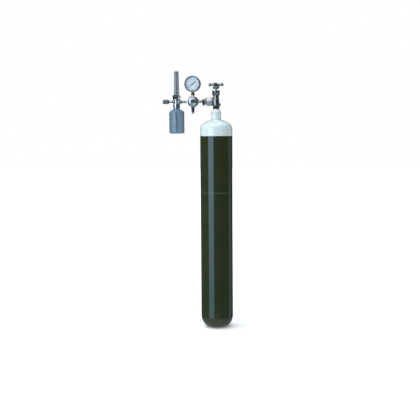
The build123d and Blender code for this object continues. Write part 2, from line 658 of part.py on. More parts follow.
def bourdon_tube():
    """Flattened C-shaped tube, from its holder at the bottom clockwise to its tip."""
    start_deg, sweep_deg = 266.0, 262.0
    radius, depth = 25.5, 3.6

    def hoop(radial, axial):
        section = Plane.XZ * Pos(radius, depth) * Ellipse(radial, axial)
        turned_hoop = revolve(section, Axis.Z, revolution_arc=sweep_deg)
        upright = Plane(origin=GAUGE, x_dir=(1, 0, 0), z_dir=(0, 1, 0))
        return upright * Rot(0, 0, -start_deg) * turned_hoop

    tip_deg = start_deg - sweep_deg
    tip = polar(radius, tip_deg - 3.0)
    cap = rod(2.2, dial_point(tip, depth - 3.2), dial_point(tip, depth + 3.2))
    pin = rod(0.5, dial_point(TIP_PIN, depth), dial_point(TIP_PIN, -4.0))
    return hoop(1.5, 3.7) - hoop(1.1, 3.3) + cap + pin


def movement_frame():
    """Two plates on pillars that carry the pinion and the sector, and the dial's posts."""
    corners = [(-6.0, 6.0, 2.0), (4.5, 6.0, 2.0), (13.5, -13.0, 2.0), (13.0, -21.0, 2.0),
               (6.2, -27.0, 1.0), (-6.2, -27.0, 1.0)]
    frame = dial_plate(outline(corners), -7.5, -8.3) + dial_plate(outline(corners), -0.7, -1.5)
    for at in [(-4.2, 4.0), (-4.3, -24.6), (4.3, -24.6)]:
        frame += rod(1.3, dial_point(at, -9.38), dial_point(at, -0.7))
    for at in [(0, 0), SECTOR_AT]:
        frame -= rod(ARBOR_BORE_R, dial_point(at, -10), dial_point(at, 1))
    return frame


# ------------------------------------------------------------------ flowmeter

def outlet_pipe():
    return turned([
        (2.5, ARM_FAR - 12), (PIPE_R, ARM_FAR - 12), (PIPE_R, ARM_FAR + 0.05), (6.4, ARM_FAR + 0.05),
        (6.4, 156.95), (PIPE_R, 156.95), (PIPE_R, 165.0), (2.5, 165.0),
    ], VALVE_OUTLET, X_OUT)


def pipe_nuts():
    """Lock nuts at the pipe's two ends."""
    first = hex_bar(16.0, ARM_FAR + 0.1, ARM_FAR + 3.6, VALVE_OUTLET, X_OUT)
    second = hex_bar(15.0, 150.5, 156.9, VALVE_OUTLET, X_OUT)
    bore = rod(6.43, (-120, 0, OUTLET_Z), (-160, 0, OUTLET_Z))
    return Compound(children=[first - bore, second - bore])


def flowmeter_body():
    at = (FLOW_X, 0, 0)
    body = turned([
        (0, 968.0), (SPIGOT_R, 968.0, 0.6), (SPIGOT_R, LID_TOP + 0.1), (11.0, LID_TOP + 0.1, 0.5),
        (12.8, 988.0, 2.5), (12.8, 995.0, 1.5), (15.4, 997.0, 0.6), (15.4, COLLAR_Z, 0.4),
        (13.3, COLLAR_Z), (13.3, TUBE_SEAT_Z, 0.5), (0, TUBE_SEAT_Z),
    ], at)
    body += turned([(0, 0), (7.0, 0), (7.0, 16.5, 0.7), (0, 16.5)], (FLOW_X, 0, OUTLET_Z), (1, 0, 0))
    body += turned([(0, 0), (6.8, 0), (6.8, 15.5, 0.7), (0, 15.5)], (FLOW_X, 0, OUTLET_Z), X_OUT)
    inlet = rod(PORT_R, (-156.0, 0, OUTLET_Z), (-165.4, 0, OUTLET_Z))
    feed = rod(2.0, (-165.0, 0, OUTLET_Z), (-178.0, 0, OUTLET_Z))
    orifice = rod(1.2, (-177.0, 0, OUTLET_Z), (-181.0, 0, OUTLET_Z))
    needle_bore = rod(4.05, (-180.4, 0, OUTLET_Z), (-190.0, 0, OUTLET_Z))
    riser = rod(1.2, (-182.5, 0, OUTLET_Z + 2), (FLOW_X, 0, TUBE_SEAT_Z - 2))
    tube_feed = rod(1.2, (FLOW_X, 0, TUBE_SEAT_Z - 4), (FLOW_X, 0, TUBE_SEAT_Z + 1))
    return_way = rod(1.2, (FLOW_X, 8.0, 979.5), (FLOW_X, 8.0, TUBE_SEAT_Z + 1))
    return_cross = rod(1.2, (FLOW_X, 8.0, 980.8), (FLOW_X, 0, 980.8))
    spigot_bore = rod(3.55, (FLOW_X, 0, 967.0), (FLOW_X, 0, 982.0))
    spigot_patch = rod(1.3, (FLOW_X, 8.0, 979.0), (FLOW_X, 8.0, 980.0))
    for hollow in (inlet, feed, orifice, needle_bore, riser, tube_feed, return_way,
                   return_cross, spigot_bore, spigot_patch):
        body -= hollow
    return body


def tube_collar():
    nut = hex_bar(30.4, COLLAR_Z + 0.1, 1019.0, (FLOW_X, 0, 0))
    bore = turned([
        (0, 999), (13.35, 999), (13.35, 1016.5), (12.2, 1016.5), (12.2, 1020), (0, 1020),
    ], (FLOW_X, 0, 0))
    return nut - bore


def flow_tube_cover():
    return turned([
        (10.4, 1009.2), (13.2, 1009.2), (13.2, 1012.4), (12.1, 1013.0), (12.0, 1020.0),
        (10.3, TUBE_TOP, 5.0), (0, TUBE_TOP), (0, TUBE_TOP - 2.4), (8.5, TUBE_TOP - 2.4, 3.6),
        (10.3, 1014.0),
    ], (FLOW_X, 0, 0))


def metering_tube():
    return turned([
        (3.25, 1010.0), (5.2, 1010.0, 0.3), (5.2, 1112.0, 0.3), (3.9, 1112.0),
    ], (FLOW_X, 0, 0))


def tube_seals():
    """Seat under the metering tube and the plug that centres its top in the cover."""
    at = (FLOW_X, 0, 0)
    seat = tube(6.2, 3.4, TUBE_SEAT_Z + 0.02, 1009.98, at)
    plug = turned([
        (1.6, 1112.05), (8.45, 1112.05, 0.5), (8.3, 1116.5, 0.8), (1.6, 1116.5),
    ], at)
    return Compound(children=[seat, plug])


def float_ball():
    return Pos(FLOW_X, 0, TUBE_SEAT_Z + 3.05) * Sphere(3.0)


def needle_gland():
    gland = hex_bar(12.0, 189.05, 194.0, VALVE_OUTLET, X_OUT)
    gland += turned([(0, 193.0), (5.0, 193.0), (5.0, 204.6, 0.6), (0, 204.6)], VALVE_OUTLET, X_OUT)
    return gland - rod(3.56, (-188, 0, OUTLET_Z), (-206, 0, OUTLET_Z))


def flow_knob():
    knob = turned([
        (0, 190.5), (3.5, 190.5, 0.3), (3.5, 205.0), (4.8, 205.0), (6.0, 206.4, 0.5),
        (9.9, 211.4, 1.5), (9.9, 231.6, 1.2), (8.6, 233.0, 0.5), (0, 233.0),
    ], VALVE_OUTLET, X_OUT)
    flute = rod(1.5, (-208.0, 0, 0), (-229.0, 0, 0)) + Pos(-229.0, 0, 0) * Sphere(1.5)
    flutes = [Pos(0, 0, OUTLET_Z) * Rot(30 * k, 0, 0) * Pos(0, 0, 10.6) * flute for k in range(12)]
    for cut in flutes:
        knob -= cut
    dish = turned([(0, 232.0), (5.4, 232.0), (6.2, 234.0), (0, 234.0)], VALVE_OUTLET, X_OUT)
    return knob - dish - square_bar(3.1, 190.0, 205.0, VALVE_OUTLET, X_OUT)


def needle_stem():
    needle = turned([
        (0, 178.4), (0.3, 178.4), (1.15, 180.2), (1.15, 181.2), (4.0, 181.2, 0.3), (4.0, 187.4, 0.3),
        (0, 187.4),
    ], VALVE_OUTLET, X_OUT)
    return needle + square_bar(3.0, 187.0, 202.0, VALVE_OUTLET, X_OUT)


# ------------------------------------------------------------------ humidifier

def humidifier_lid():
    at = (FLOW_X, 0, 0)
    lid = turned([
        (13.0, LID_Z), (14.0, LID_Z, 0.4), (15.4, 973.0, 4.0), (15.4, LID_TOP, 1.6),
        (SPIGOT_R + 0.05, LID_TOP), (SPIGOT_R + 0.05, NECK_END_Z + 1), (13.0, NECK_END_Z + 1),
    ], at)
    lid += rod(4.4, (FLOW_X, 12.0, BARB_Z), (FLOW_X, 17.0, BARB_Z))
    lid -= rod(3.05, (FLOW_X, 10.6, BARB_Z), (FLOW_X, 18.0, BARB_Z))
    return lid - rod(0.9, (FLOW_X, 9.3, 973.0), (FLOW_X, 12.0, BARB_Z))


def lid_gasket():
    return tube(12.9, 10.7, NECK_END_Z + 0.02, NECK_END_Z + 0.98, (FLOW_X, 0, 0))


def outlet_barb():
    at = (FLOW_X, 0, BARB_Z)
    barb = turned([
        (0, 11.0), (3.0, 11.0), (3.0, 17.05), (4.0, 17.05), (4.0, 20.5), (2.7, 21.0), (2.7, 24.0),
        (4.1, 25.0, 0.3), (3.0, 29.0), (4.1, 30.0, 0.3), (3.0, 34.0), (4.1, 35.0, 0.3), (2.6, 40.5, 0.4),
        (0, 40.5),
    ], at, (0, 1, 0))
    barb += hex_bar(10.0, 17.05, 20.5, at, (0, 1, 0))
    return barb - rod(1.6, (FLOW_X, 10.0, BARB_Z), (FLOW_X, 41.0, BARB_Z))


def dip_tube():
    return tube(3.5, 2.3, 872.0, 979.0, (FLOW_X, 0, 0))


def diffuser():
    return turned([
        (0, 862.0), (4.6, 862.0, 1.5), (4.6, 880.0, 0.6), (3.53, 880.0), (3.53, 871.95), (0, 871.95),
    ], (FLOW_X, 0, 0))


def humidifier_bottle():
    return turned([
        (10.6, NECK_END_Z), (12.85, NECK_END_Z, 0.5), (12.85, 959.6, 1.5), (14.6, 958.8, 2.0),
        (BOTTLE_R, 946.4, 5.5), (BOTTLE_R, BOTTLE_Z, 8.0), (22.0, BOTTLE_Z, 2.0), (16.0, 854.0, 3.0),
        (0, 855.0), (0, 857.0), (21.0, 854.6, 3.0), (BOTTLE_R - 1.8, 854.0, 6.0),
        (BOTTLE_R - 1.8, 945.0, 4.5), (10.6, 958.6, 2.0),
    ], (FLOW_X, 0, 0))


# ------------------------------------------------------------------ all pieces

PIECES = [
    cylinder_shell, neck_ring,
    valve_body, gland_nut, stem_packing, burst_plug, burst_disc, valve_stem, handwheel,
    handwheel_nut, seat_plug, seat_disc,
    nipple_seal, inlet_nipple, inlet_filter, union_nut, filter_collar, filter_plug,
    regulator_body, regulator_bonnet, diaphragm, diaphragm_plate, main_spring, adjusting_screw,
    seat_nozzle, poppet, poppet_spring, back_cap, relief_body, relief_poppet, relief_spring, relief_cap,
    gauge_socket, gauge_case, gauge_bezel, gauge_lens, gauge_dial, pointer_pinion, gauge_pointer,
    sector_gear, gauge_link, bourdon_tube, movement_frame,
    outlet_pipe, pipe_nuts, flowmeter_body, tube_collar, flow_tube_cover, metering_tube, tube_seals,
    float_ball, needle_gland, flow_knob, needle_stem,
    humidifier_lid, lid_gasket, outlet_barb, dip_tube, diffuser, humidifier_bottle,
]

os.makedirs("parts", exist_ok=True)
for piece in PIECES:
    export_step(piece(), f"parts/{piece.__name__}.step")
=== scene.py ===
import json
import math

import bmesh
import bpy
from mathutils import Matrix, Vector


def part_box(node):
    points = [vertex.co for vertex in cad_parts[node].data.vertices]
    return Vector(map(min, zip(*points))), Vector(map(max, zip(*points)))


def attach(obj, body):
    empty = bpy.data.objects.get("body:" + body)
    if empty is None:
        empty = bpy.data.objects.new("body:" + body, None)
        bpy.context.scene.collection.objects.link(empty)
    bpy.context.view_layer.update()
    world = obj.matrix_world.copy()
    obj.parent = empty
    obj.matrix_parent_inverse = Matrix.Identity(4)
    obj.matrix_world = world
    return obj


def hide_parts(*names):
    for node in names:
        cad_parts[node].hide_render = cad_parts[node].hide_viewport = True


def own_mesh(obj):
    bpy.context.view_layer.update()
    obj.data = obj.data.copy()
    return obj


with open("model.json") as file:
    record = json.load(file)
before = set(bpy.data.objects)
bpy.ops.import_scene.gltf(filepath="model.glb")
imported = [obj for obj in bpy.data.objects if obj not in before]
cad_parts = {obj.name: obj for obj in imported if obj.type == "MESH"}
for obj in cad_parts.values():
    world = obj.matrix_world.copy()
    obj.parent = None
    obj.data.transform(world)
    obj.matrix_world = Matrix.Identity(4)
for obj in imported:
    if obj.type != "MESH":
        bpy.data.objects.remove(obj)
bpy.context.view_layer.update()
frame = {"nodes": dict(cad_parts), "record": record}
scene = bpy.context.scene

# Metres, and degrees where a name says so
PAINT_Z = 0.8410          # where the shoulder's white enamel meets the body's green
SEAM_Z = 0.5965           # thin band round the body
DIAL_LOW, DIAL_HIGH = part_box("gauge_dial")
TUBE_LOW, TUBE_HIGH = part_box("metering_tube")
BOTTLE_LOW, BOTTLE_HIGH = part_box("humidifier_bottle")
PRINT_LIFT = 0.00003      # ink on the tube and on the bottle stands this far off them

# Gauge dial
ZERO_DEG, SWEEP_DEG = 218.0, 256.0    # where the scale starts, and how far it runs clockwise
DIAL_STEPS = 50
TICK_END_R = 0.0285
LONG_TICK, MIDDLE_TICK, SHORT_TICK = 0.0042, 0.0030, 0.0018
ARC_R = 0.0287
ARC_PIECES = 90
NUMBER_R, NUMBER_SIZE = 0.0205, 0.0052
DIAL_LIFT = 0.00002       # the drawing stands this far in front of the dial

# Metering tube
TUBE_STEPS = 20
TUBE_BAR = 0.0005         # a bar is drawn in short lengths, so that it bends round the tube
TUBE_BARS_X = -0.0035     # where the bars start
TUBE_NUMBER_X, TUBE_NUMBER_SIZE = 0.0032, 0.0042

# Bottle
MARK_BAR = 0.001
MARKS_X = -0.018          # middle of every mark
MARKS = [(0.026, 22), (0.038, 10), (0.050, 10), (0.062, 10), (0.074, 22)]   # height, lengths of bar


# ------------------------------------------------------------------ shader helpers

def add(tree, kind, settings=None, **inputs):
    """A node with its settings and inputs; an input that is a socket is linked."""
    node = tree.nodes.new(kind)
    for key, value in (settings or {}).items():
        setattr(node, key, value)
    for key, value in inputs.items():
        name = key.replace("_", " ")
        socket = node.inputs[int(key[1:])] if key[0] == "i" and key[1:].isdigit() else node.inputs[name]
        if isinstance(value, bpy.types.NodeSocket):
            tree.links.new(value, socket)
        else:
            socket.default_value = value
    return node


def maths(tree, operation, a, b=0.0):
    """The result of one operation on two sockets or numbers."""
    return add(tree, "ShaderNodeMath", {"operation": operation}, i0=a, i1=b).outputs[0]


def ranged(tree, value, low, high, to_low=0.0, to_high=1.0):
    """value from low to high, carried smoothly to the two new ends."""
    node = add(tree, "ShaderNodeMapRange", {"interpolation_type": "SMOOTHSTEP"}, Value=value)
    for name, number in [("From Min", low), ("From Max", high), ("To Min", to_low), ("To Max", to_high)]:
        node.inputs[name].default_value = number
    return node.outputs[0]


def blend(tree, factor, a, b):
    """Colour a at factor 0 and b at factor 1."""
    node = tree.nodes.new("ShaderNodeMix")
    node.data_type = "RGBA"
    for socket, value in [(node.inputs[0], factor), (node.inputs[6], a), (node.inputs[7], b)]:
        if isinstance(value, bpy.types.NodeSocket):
            tree.links.new(value, socket)
        else:
            socket.default_value = value
    return node.outputs[2]


def rgba(colour):
    return (*colour, 1.0)


def stretched(tree, scale):
    """Object coordinates stretched by a scale on each axis."""
    coordinates = add(tree, "ShaderNodeTexCoord").outputs["Object"]
    return add(tree, "ShaderNodeMapping", Vector=coordinates, Scale=scale).outputs[0]


def noise(tree, scale, detail=4.0, roughness=0.55, vector=None, distortion=0.0):
    """Cloudy noise from 0 to 1, in the object's coordinates unless another vector is given."""
    vector = vector or add(tree, "ShaderNodeTexCoord").outputs["Object"]
    return add(tree, "ShaderNodeTexNoise", Vector=vector, Scale=scale, Detail=detail,
               Roughness=roughness, Distortion=distortion).outputs[0]


def edges(tree, radius, wobble=0.35):
    """Mask of the surface's sharp edges, broken up by noise."""
    soft = add(tree, "ShaderNodeBevel", {"samples": 6}, Radius=radius).outputs[0]
    hard = add(tree, "ShaderNodeNewGeometry").outputs["Normal"]
    turn = add(tree, "ShaderNodeVectorMath", {"operation": "DOT_PRODUCT"}, i0=soft, i1=hard).outputs["Value"]
    broken = maths(tree, "MULTIPLY", noise(tree, 420.0, 6.0, 0.7), wobble)
    return ranged(tree, maths(tree, "ADD", turn, broken), 1.0 + wobble * 0.45, 0.86 + wobble * 0.45)


def material(name, metallic=0.0, **inputs):
    """A new material, its node tree and its shader."""
    made = bpy.data.materials.new(name)
    made.use_nodes = True
    tree = made.node_tree
    shader = tree.nodes["Principled BSDF"]
    shader.inputs["Metallic"].default_value = metallic
    for key, value in inputs.items():
        shader.inputs[key.replace("_", " ")].default_value = value
    return made, tree, shader


def connect(tree, shader, colour, rough, height, strength, distance):
    """Gives a shader its colour, its roughness and its relief."""
    tree.links.new(colour, shader.inputs["Base Color"])
    tree.links.new(rough, shader.inputs["Roughness"])
    relief = add(tree, "ShaderNodeBump", Strength=strength, Distance=distance, Height=height)
    tree.links.new(relief.outputs[0], shader.inputs["Normal"])


def scratches(tree, scale, turn, sharp=0.012):
    """Mask of fine straight scratches that run one way."""
    coordinates = add(tree, "ShaderNodeTexCoord").outputs["Object"]
    vector = add(tree, "ShaderNodeMapping", Vector=coordinates, Rotation=turn, Scale=scale).outputs[0]
    field = noise(tree, 1.0, 2.0, 0.5, vector)
    off = maths(tree, "ABSOLUTE", maths(tree, "SUBTRACT", field, 0.5))
    return ranged(tree, off, sharp, 0.0)


def metal(name, colour, deep, rough, wear=None, grain=1500.0, lift=0.00002, scratch=0.5, **inputs):
    """Plated or turned metal: clouded tone, fine scratches, a brighter or darker worn edge."""
    made, tree, shader = material(name, 1.0, **inputs)
    cloud = noise(tree, 55.0, 6.0, 0.6)
    smudge = noise(tree, 240.0, 5.0, 0.65, distortion=0.6)
    tone = blend(tree, ranged(tree, cloud, 0.42, 0.75, 0.0, 0.35), rgba(colour), rgba(deep))
    marks = maths(tree, "MAXIMUM", scratches(tree, (60, 900, 400), (0.3, 0.5, 0.2)),
                  scratches(tree, (700, 90, 260), (1.1, 0.2, 0.7)))
    if wear:
        tone = blend(tree, maths(tree, "MULTIPLY", edges(tree, 0.0007), 0.75), tone, rgba(wear))
    shine = ranged(tree, smudge, 0.3, 0.75, rough[0], rough[1])
    shine = maths(tree, "ADD", shine, maths(tree, "MULTIPLY", marks, 0.10 * scratch))
    height = maths(tree, "SUBTRACT", noise(tree, grain, 3.0), maths(tree, "MULTIPLY", marks, scratch))
    connect(tree, shader, tone, shine, height, 0.22, lift)
    return made


def coated(name, colour, deep, rough, wear=None, grain=700.0, lift=0.00006, worn=0.8, dust=0.10, **inputs):
    """Paint, plastic or rubber: clouded colour, moulded grain, dust on top and worn edges."""
    made, tree, shader = material(name, 0.0, **inputs)
    tone = blend(tree, ranged(tree, noise(tree, 38.0, 6.0, 0.6), 0.35, 0.7), rgba(colour), rgba(deep))
    if wear:
        tone = blend(tree, maths(tree, "MULTIPLY", edges(tree, 0.0006), worn), tone, rgba(wear))
    normal = add(tree, "ShaderNodeNewGeometry").outputs["Normal"]
    level = ranged(tree, add(tree, "ShaderNodeSeparateXYZ", i0=normal).outputs[2], 0.35, 1.0)
    fallen = maths(tree, "MULTIPLY", level, ranged(tree, noise(tree, 90.0, 8.0, 0.7), 0.4, 0.7))
    tone = blend(tree, maths(tree, "MULTIPLY", fallen, dust), tone, rgba((0.60, 0.58, 0.54)))
    shine = ranged(tree, noise(tree, 160.0, 5.0, 0.6), 0.3, 0.7, rough[0], rough[1])
    shine = maths(tree, "ADD", shine, maths(tree, "MULTIPLY", fallen, 0.25))
    connect(tree, shader, tone, shine, noise(tree, grain, 4.0, 0.6), 0.35, lift)
    return made


def clear(name, colour, deep, alpha, rough, lift=0.0001):
    """Clear moulded plastic: denser where it is seen edge on, with faint flow lines."""
    made, tree, shader = material(name, 0.0, IOR=1.46, Coat_Weight=0.6, Coat_Roughness=0.04)
    cloud = noise(tree, 30.0, 5.0, 0.55, stretched(tree, (1.0, 1.0, 0.25)))
    tone = blend(tree, ranged(tree, cloud, 0.3, 0.7), rgba(colour), rgba(deep))
    side = add(tree, "ShaderNodeLayerWeight", Blend=0.5).outputs["Facing"]
    shine = ranged(tree, noise(tree, 190.0, 4.0), 0.3, 0.7, rough[0], rough[1])
    tree.links.new(ranged(tree, side, 0.1, 1.0, alpha[0], alpha[1]), shader.inputs["Alpha"])
    connect(tree, shader, tone, shine, cloud, 0.25, lift)
    return made


# ------------------------------------------------------------------ materials

def enamel():
    """The cylinder's paint: green body, white shoulder, a thin pale band, wear at the foot."""
    made, tree, shader = material("cylinder_enamel", 0.0, IOR=1.6)
    place = add(tree, "ShaderNodeTexCoord").outputs["Object"]
    height = add(tree, "ShaderNodeSeparateXYZ", i0=place).outputs[2]
    ragged = maths(tree, "MULTIPLY", maths(tree, "SUBTRACT", noise(tree, 260.0, 3.0), 0.5), 0.0012)
    level = maths(tree, "ADD", height, ragged)
    green = blend(tree, ranged(tree, noise(tree, 7.0, 5.0, 0.6), 0.35, 0.68),
                  rgba((0.021, 0.032, 0.011)), rgba((0.030, 0.031, 0.010)))
    streaks = noise(tree, 22.0, 6.0, 0.6, stretched(tree, (1.0, 1.0, 0.12)))
    green = blend(tree, ranged(tree, streaks, 0.5, 0.8, 0.0, 0.5), green, rgba((0.017, 0.035, 0.022)))
    white = blend(tree, ranged(tree, noise(tree, 9.0, 6.0, 0.6), 0.3, 0.75),
                  rgba((0.70, 0.82, 0.83)), rgba((0.66, 0.775, 0.79)))
    grime = ranged(tree, noise(tree, 60.0, 8.0, 0.72), 0.58, 0.75, 0.0, 0.16)
    white = blend(tree, grime, white, rgba((0.40, 0.42, 0.39)))
    above = ranged(tree, level, PAINT_Z - 0.0004, PAINT_Z + 0.0004)
    paint = blend(tree, above, green, white)
    tint = blend(tree, above, rgba((0.66, 0.92, 1.0)), rgba((1.0, 1.0, 1.0)))
    tree.links.new(tint, shader.inputs["Specular Tint"])
    off = maths(tree, "ABSOLUTE", maths(tree, "SUBTRACT", level, SEAM_Z))
    band = maths(tree, "MULTIPLY", ranged(tree, off, 0.0020, 0.0010), 0.62)
    paint = blend(tree, band, paint, rgba((0.12, 0.13, 0.07)))
    scuffs = maths(tree, "MULTIPLY", scratches(tree, (9, 9, 150), (0.15, 0.1, 0.0), 0.006),
                   ranged(tree, noise(tree, 11.0, 3.0), 0.5, 0.62))
    paint = blend(tree, maths(tree, "MULTIPLY", scuffs, 0.25), paint, rgba((0.20, 0.20, 0.17)))
    chipped = maths(tree, "MULTIPLY", ranged(tree, height, 0.030, 0.002),
                    ranged(tree, noise(tree, 130.0, 8.0, 0.75), 0.50, 0.56))
    paint = blend(tree, chipped, paint, rgba((0.10, 0.085, 0.07)))
    film = ranged(tree, noise(tree, 45.0, 7.0), 0.3, 0.8, 0.0, 0.22)
    dusty = maths(tree, "MULTIPLY", ranged(tree, height, 0.12, 0.0), film)
    paint = blend(tree, dusty, paint, rgba((0.16, 0.15, 0.12)))
    shine = ranged(tree, noise(tree, 14.0, 6.0, 0.65), 0.35, 0.7, 0.05, 0.12)
    shine = maths(tree, "ADD", shine, maths(tree, "MULTIPLY", maths(tree, "MAXIMUM", chipped, scuffs), 0.3))
    shine = maths(tree, "ADD", shine, dusty)
    step = ranged(tree, level, PAINT_Z - 0.0005, PAINT_Z + 0.0005, 0.0, 0.5)
    peel = maths(tree, "ADD", noise(tree, 330.0, 3.0, 0.5), step)
    peel = maths(tree, "SUBTRACT", peel, maths(tree, "ADD", chipped, maths(tree, "MULTIPLY", scuffs, 0.5)))
    connect(tree, shader, paint, shine, peel, 0.25, 0.00012)
    return made


GRAZING = (0.16, 0.20, 0.23, 1.0)     # plated metal darkens where it is seen edge on

MATERIALS = {
    "cylinder_paint": enamel(),
    "ring_paint": coated("ring_enamel", (0.78, 0.89, 0.90), (0.72, 0.83, 0.85), (0.25, 0.40),
                         wear=(0.34, 0.35, 0.34), dust=0.15, worn=0.45, Coat_Weight=0.7, Coat_Roughness=0.08),
    "chrome": metal("chrome_plate", (0.66, 0.71, 0.74), (0.48, 0.53, 0.56), (0.03, 0.09),
                    wear=(0.74, 0.76, 0.76), lift=0.00001, scratch=0.15, Specular_Tint=GRAZING),
    "wheel_metal": metal("wheel_plate", (0.24, 0.28, 0.28), (0.15, 0.18, 0.18), (0.18, 0.32),
                         wear=(0.50, 0.53, 0.52), grain=600.0, lift=0.00008),
    "valve_chrome": metal("valve_nickel", (0.31, 0.345, 0.35), (0.20, 0.235, 0.235), (0.13, 0.27),
                          wear=(0.62, 0.64, 0.62), grain=700.0, lift=0.00006, Specular_Tint=GRAZING),
    "gauge_chrome": metal("gauge_plate", (0.26, 0.29, 0.32), (0.18, 0.21, 0.24), (0.12, 0.22),
                          wear=(0.5, 0.52, 0.53)),
    "brass": metal("turned_brass", (0.58, 0.45, 0.25), (0.38, 0.28, 0.15), (0.16, 0.30),
                   wear=(0.78, 0.66, 0.42)),
    "steel": metal("bright_steel", (0.56, 0.57, 0.58), (0.42, 0.42, 0.42), (0.15, 0.3)),
    "dark_metal": metal("blackened_steel", (0.055, 0.065, 0.07), (0.03, 0.035, 0.04), (0.25, 0.42),
                        wear=(0.35, 0.36, 0.36), scratch=0.3),
    "knob_metal": metal("anodised_knob", (0.19, 0.23, 0.23), (0.13, 0.16, 0.16), (0.26, 0.42),
                        wear=(0.42, 0.45, 0.44), scratch=0.4),
    "rubber": coated("black_rubber", (0.02, 0.02, 0.02), (0.035, 0.033, 0.03), (0.55, 0.75)),
    "seal_plastic": coated("white_seal", (0.72, 0.72, 0.68), (0.62, 0.62, 0.58), (0.4, 0.6)),
    "dial_paint": coated("dial_face", (0.72, 0.85, 0.93), (0.67, 0.80, 0.88), (0.45, 0.6), grain=1600.0,
                         lift=0.00002, dust=0.0),
    "pointer_paint": coated("pointer_enamel", (0.03, 0.035, 0.04), (0.05, 0.05, 0.055), (0.3, 0.5), dust=0.0),
    "lens": clear("gauge_glass", (0.60, 0.66, 0.70), (0.54, 0.60, 0.65), (0.03, 0.25), (0.02, 0.06), 0.00001),
    "clear_plastic": clear("clear_tube", (0.21, 0.275, 0.325), (0.17, 0.23, 0.28),
                           (0.26, 0.76), (0.06, 0.16)),
    "bottle_plastic": clear("bottle_plastic", (0.14, 0.28, 0.41), (0.12, 0.25, 0.375),
                            (0.44, 0.84), (0.08, 0.20)),
    "tube_plastic": coated("dip_plastic", (0.12, 0.14, 0.15), (0.10, 0.12, 0.13), (0.3, 0.45), dust=0.0),
}

NODE_MATERIALS = {
    "metering_tube": clear("frosted_tube", (0.32, 0.42, 0.49), (0.27, 0.36, 0.43),
                           (0.46, 0.86), (0.15, 0.30)),
}

slots = {part["node"]: part["material_slot"] for part in frame["record"]["subparts"]}
for name, node in frame["nodes"].items():
    finish = NODE_MATERIALS.get(name) or MATERIALS[slots[name]]
    node.data.materials.clear()
    node.data.materials.append(finish)


# ------------------------------------------------------------------ springs

def pressed_spring(node):
    """Stands for a coil spring with a copy of its mesh on the regulator body, and hides the CAD part."""
    piece = bpy.data.objects.new(f"{node}_coil", frame["nodes"][node].data.copy())
    scene.collection.objects.link(piece)
    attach(piece, "regulator")
    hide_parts(node)
    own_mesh(piece)


pressed_spring("poppet_spring")
pressed_spring("relief_spring")


# ------------------------------------------------------------------ printed scales

def ink(name, colour):
    """Printed ink, a little thin in places."""
    made, tree, shader = material(name)
    tone = blend(tree, ranged(tree, noise(tree, 2600.0, 3.0), 0.3, 0.8), rgba(colour),
                 rgba([c * 1.6 + 0.02 for c in colour]))
    connect(tree, shader, tone, ranged(tree, noise(tree, 900.0), 0.3, 0.7, 0.35, 0.55),
            noise(tree, 3000.0), 0.2, 0.00001)
    return made


DIAL_INK = ink("dial_ink", (0.17, 0.20, 0.23))
TUBE_INK = ink("tube_ink", (0.16, 0.20, 0.23))


def flat_bar(mesh, centre, size, turn=0.0, thick=0.00003):
    """Adds a thin bar to a drawing that lies in x and y."""
    place = Matrix.Translation((*centre, 0.0)) @ Matrix.Rotation(turn, 4, "Z")
    made = bmesh.ops.create_cube(mesh, size=1.0, matrix=place @ Matrix.Diagonal((*size, thick, 1.0)))
    return made["verts"]


def letters(mesh, text, centre, size):
    """Adds a number to a drawing that lies in x and y."""
    curve = bpy.data.curves.new("number", "FONT")
    curve.body = text
    curve.size = size
    curve.align_x = "CENTER"
    curve.align_y = "CENTER"
    curve.extrude = 0.000015
    holder = bpy.data.objects.new("number", curve)
    scene.collection.objects.link(holder)
    bpy.context.view_layer.update()
    drawn = bpy.data.meshes.new_from_object(holder.evaluated_get(bpy.context.evaluated_depsgraph_get()))
    drawn.transform(Matrix.Translation((*centre, 0.0)))
    mesh.from_mesh(drawn)
    bpy.data.objects.remove(holder)
    bpy.data.curves.remove(curve)
    bpy.data.meshes.remove(drawn)


def printed(name, mesh, place, finish, body, wrap=None):
    """Turns a drawing into a piece on a body, wrapped round an upright tube if asked."""
    if wrap:
        for vertex in mesh.verts:
            turn = vertex.co.x / wrap
            reach = wrap + vertex.co.z
            vertex.co = Vector((reach * math.sin(turn), -reach * math.cos(turn), vertex.co.y))
    mesh.transform(place)
    bmesh.ops.recalc_face_normals(mesh, faces=mesh.faces)
    data = bpy.data.meshes.new(name)
    mesh.to_mesh(data)
    mesh.free()
    data.materials.append(finish)
    piece = bpy.data.objects.new(name, data)
    scene.collection.objects.link(piece)
    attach(piece, body)


def on_dial(reach, turn):
    """Point of the dial's drawing at a distance from its centre and an angle."""
    return (reach * math.cos(turn), reach * math.sin(turn))


def dial_scale():
    """Ticks, numbers and a thin arc."""
    mesh = bmesh.new()
    for k in range(DIAL_STEPS + 1):
        turn = math.radians(ZERO_DEG - SWEEP_DEG * k / DIAL_STEPS)
        long = k % 10 == 0
        length = LONG_TICK if long else MIDDLE_TICK if k % 5 == 0 else SHORT_TICK
        width = 0.0009 if long else 0.00045
        flat_bar(mesh, on_dial(TICK_END_R - length / 2, turn), (length, width), turn)
        if long:
            letters(mesh, str(k // 2), on_dial(NUMBER_R, turn), NUMBER_SIZE)
    for k in range(ARC_PIECES):
        turn = math.radians(ZERO_DEG - SWEEP_DEG * (k + 0.5) / ARC_PIECES)
        length = ARC_R * math.radians(SWEEP_DEG / ARC_PIECES) * 1.02
        flat_bar(mesh, on_dial(ARC_R, turn), (0.0003, length), turn)
    x, z = (DIAL_LOW[0] + DIAL_HIGH[0]) / 2, (DIAL_LOW[2] + DIAL_HIGH[2]) / 2
    place = Matrix.Translation((x, DIAL_LOW[1] - DIAL_LIFT, z)) @ Matrix.Rotation(math.pi / 2, 4, "X")
    printed("dial_scale", mesh, place, DIAL_INK, "regulator")


